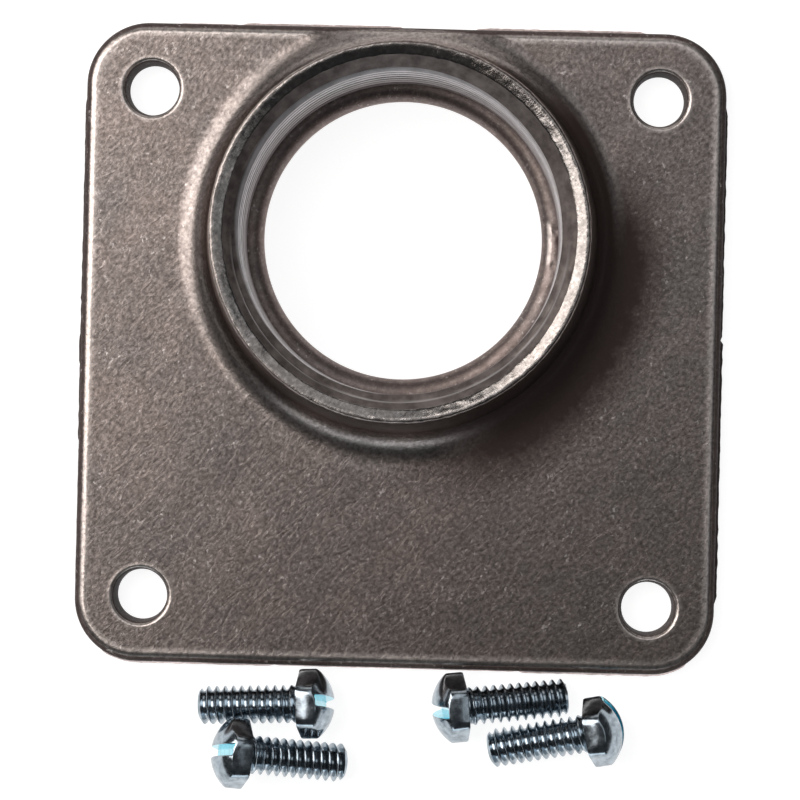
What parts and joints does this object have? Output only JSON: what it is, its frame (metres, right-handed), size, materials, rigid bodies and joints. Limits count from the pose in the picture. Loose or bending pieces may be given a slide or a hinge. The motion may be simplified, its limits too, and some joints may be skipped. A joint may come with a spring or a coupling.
{
  "type": "conduit hub",
  "caption": "Square cast plate with an off-centre threaded boss that joins a conduit to the top of an enclosure, with its slotted hex-head mounting screws laid beside it.",
  "frame": {"origin": "centre of the four mounting holes, on the back face of the plate", "axes": "+Z along the boss, away from the enclosure; +Y towards the plate edge that the boss stands nearest to; +X to the right"},
  "size_m": [0.0812, 0.0959, 0.02],
  "materials": {
    "casting": "as cast, dulled satin, machined in the bore",
    "screw_steel": "bright zinc plating"
  },
  "bodies": {
    "root": {"hub_body": "casting", "mounting_screws": "screw_steel"}
  },
  "joints": []
}
